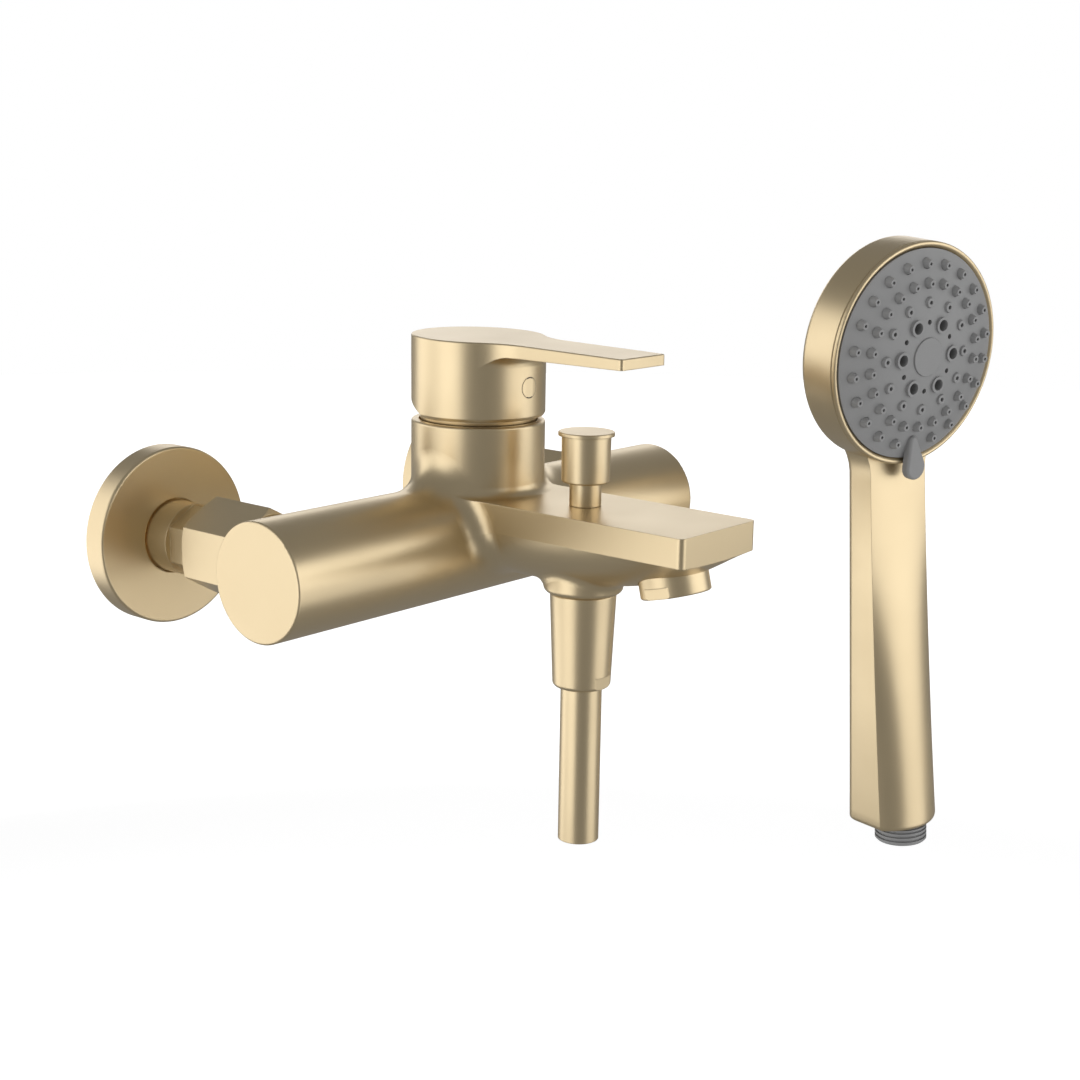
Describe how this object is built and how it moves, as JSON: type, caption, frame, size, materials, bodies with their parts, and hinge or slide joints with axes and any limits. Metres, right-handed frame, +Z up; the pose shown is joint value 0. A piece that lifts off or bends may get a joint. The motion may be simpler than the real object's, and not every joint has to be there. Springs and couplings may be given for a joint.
{
  "type": "wall-mounted bath mixer with hand shower",
  "caption": "Wall-mounted single-lever bath mixer with flat spout, pull-up diverter, hose outlet and round multi-spray hand shower.",
  "frame": {"origin": "point of the wall surface behind the middle of the mixer, midway between the two inlets and level with the body's axis", "axes": "+X along the mixer's body to the right for someone who faces the wall, +Y into the wall, +Z up; the spout points along -Y"},
  "size_m": [0.3165, 0.2008, 0.2458],
  "materials": {
    "satin_gold": "satin champagne gold coating on brass",
    "gold_plastic": "satin champagne gold plating on ABS",
    "gold_hose": "smooth hose with a satin gold look",
    "raw_brass": "machined",
    "steel": "plain",
    "ceramic": null,
    "white_plastic": "moulded",
    "grey_plastic": "moulded, satin",
    "grey_silicone": "soft silicone",
    "black_rubber": "matte"
  },
  "bodies": {
    "mixer": {"aerator_housing": "satin_gold", "aerator_insert": "grey_plastic", "aerator_washer": "black_rubber", "cartridge_base": "white_plastic", "cartridge_clamp_nut": "raw_brass", "cartridge_housing": "white_plastic", "cartridge_port_seal": "black_rubber", "check_valve": "white_plastic", "cover_dome": "satin_gold", "diverter_bush": "white_plastic", "diverter_rod_seal": "black_rubber", "fixed_ceramic_disc": "ceramic", "hose": "gold_hose", "hose_ferrule": "raw_brass", "hose_nut": "satin_gold", "hose_washer": "black_rubber", "inlet_strainer_left": "white_plastic", "inlet_strainer_right": "white_plastic", "inlet_washer_left": "black_rubber", "inlet_washer_right": "black_rubber", "mixer_body": "satin_gold", "rosette_left": "satin_gold", "rosette_right": "satin_gold", "s_union_left": "satin_gold", "s_union_right": "satin_gold", "shower_outlet_nipple": "raw_brass", "union_nut_left": "satin_gold", "union_nut_right": "satin_gold"},
    "sleeve": {"cartridge_sleeve": "white_plastic", "pivot_pin": "steel"},
    "lever": {"lever_spindle": "raw_brass", "handle_lever": "satin_gold", "handle_set_screw": "steel", "index_plug": "satin_gold"},
    "disc": {"disc_carrier": "white_plastic", "moving_ceramic_disc": "ceramic"},
    "diverter": {"diverter_knob": "satin_gold", "diverter_spindle": "raw_brass", "diverter_upper_seal": "black_rubber", "diverter_lower_seal": "black_rubber"},
    "handset": {"handset_shell": "gold_plastic", "inlet_connector": "grey_plastic", "connector_strainer": "steel", "water_tube": "white_plastic", "inner_plate": "white_plastic", "port_seal": "black_rubber", "detent_ball": "steel", "detent_spring": "steel", "face_screw": "steel"},
    "spray": {"spray_face": "grey_plastic", "spray_body": "white_plastic", "face_seal": "black_rubber", "nozzle_mat": "grey_silicone", "rim_ring": "gold_plastic", "centre_cap": "grey_plastic"}
  },
  "joints": [
    {"name": "temperature_turn", "type": "hinge", "parent": "mixer", "child": "sleeve", "pos_m": [0, -0.0805, 0.045], "axis": [0, 0, 1], "range_deg": [-45, 45]},
    {"name": "lever_lift", "type": "hinge", "parent": "sleeve", "child": "lever", "pos_m": [0, -0.0805, 0.045], "axis": [-1, 0, 0], "range_deg": [0, 22]},
    {"name": "disc_slide", "type": "slide", "parent": "sleeve", "child": "disc", "axis": [0, -1, 0], "range_m": [0, 0.00668]},
    {"name": "diverter_pull", "type": "slide", "parent": "mixer", "child": "diverter", "axis": [0, 0, 1], "range_m": [0, 0.008]},
    {"name": "handset_lift", "type": "slide", "parent": "mixer", "child": "handset", "axis": [0, 0, 1], "range_m": [0, 0.12]},
    {"name": "spray_selector", "type": "hinge", "parent": "handset", "child": "spray", "pos_m": [0.16479, -0.15836, 0.05625], "axis": [-0.2531, -0.9645, -0.0753], "range_deg": [-30, 30]}
  ],
  "couplings": [
    {"joint": "disc_slide", "follows": "lever_lift", "m_per_rad": 0.017366}
  ]
}
